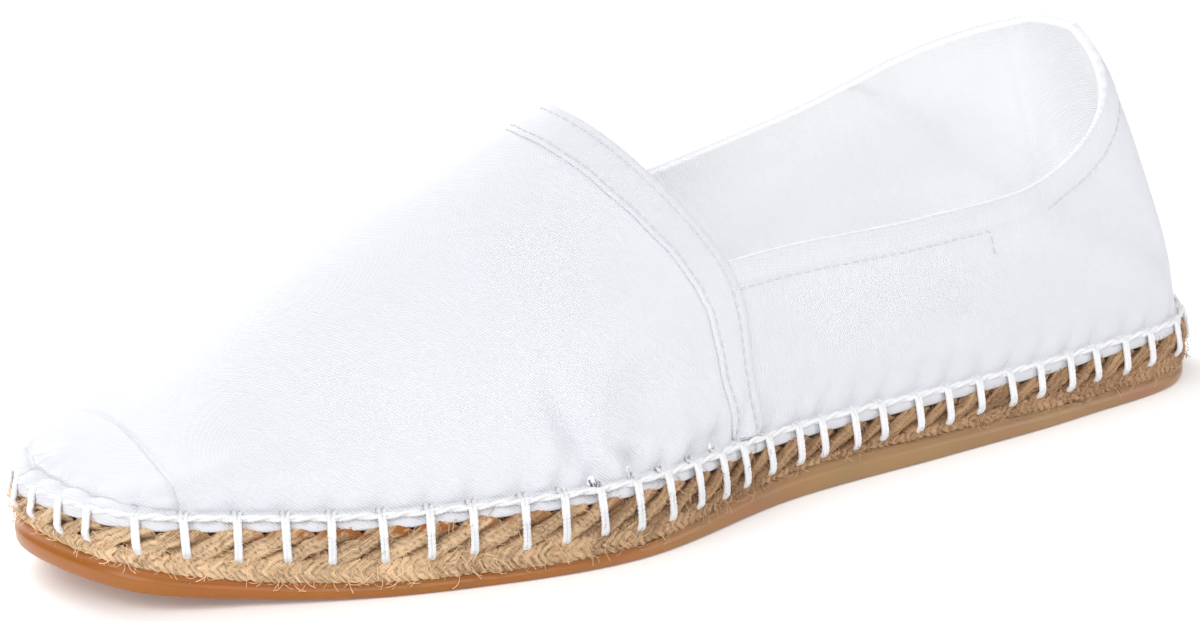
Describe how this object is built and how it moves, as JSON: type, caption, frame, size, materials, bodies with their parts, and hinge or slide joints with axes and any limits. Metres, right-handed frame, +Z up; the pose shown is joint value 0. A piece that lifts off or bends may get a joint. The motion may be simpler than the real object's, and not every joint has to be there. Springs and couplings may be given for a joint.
{
  "type": "espadrille",
  "caption": "Left canvas espadrille slip-on with taped throat, stitched toe cap, jute midsole and gum rubber outsole, standing empty.",
  "frame": {"origin": "on the ground, under the middle of the shoe's bounding box", "axes": "+X from the heel to the toe, +Y to the outer (lateral) side of this left shoe, +Z up"},
  "size_m": [0.27, 0.098, 0.0838],
  "materials": {
    "canvas": "white cotton twill, matt",
    "tape": "white cotton tape, fine rib",
    "lining": "pale cotton sock over the jute",
    "jute": "plaited natural jute, coarse and hairy",
    "rubber": "vulcanised gum rubber, half gloss"
  },
  "bodies": {
    "root": {"outsole": "rubber", "midsole": "jute", "insole": "lining", "upper": "canvas", "throat_tape": "tape", "toe_cap": "canvas"}
  },
  "joints": []
}
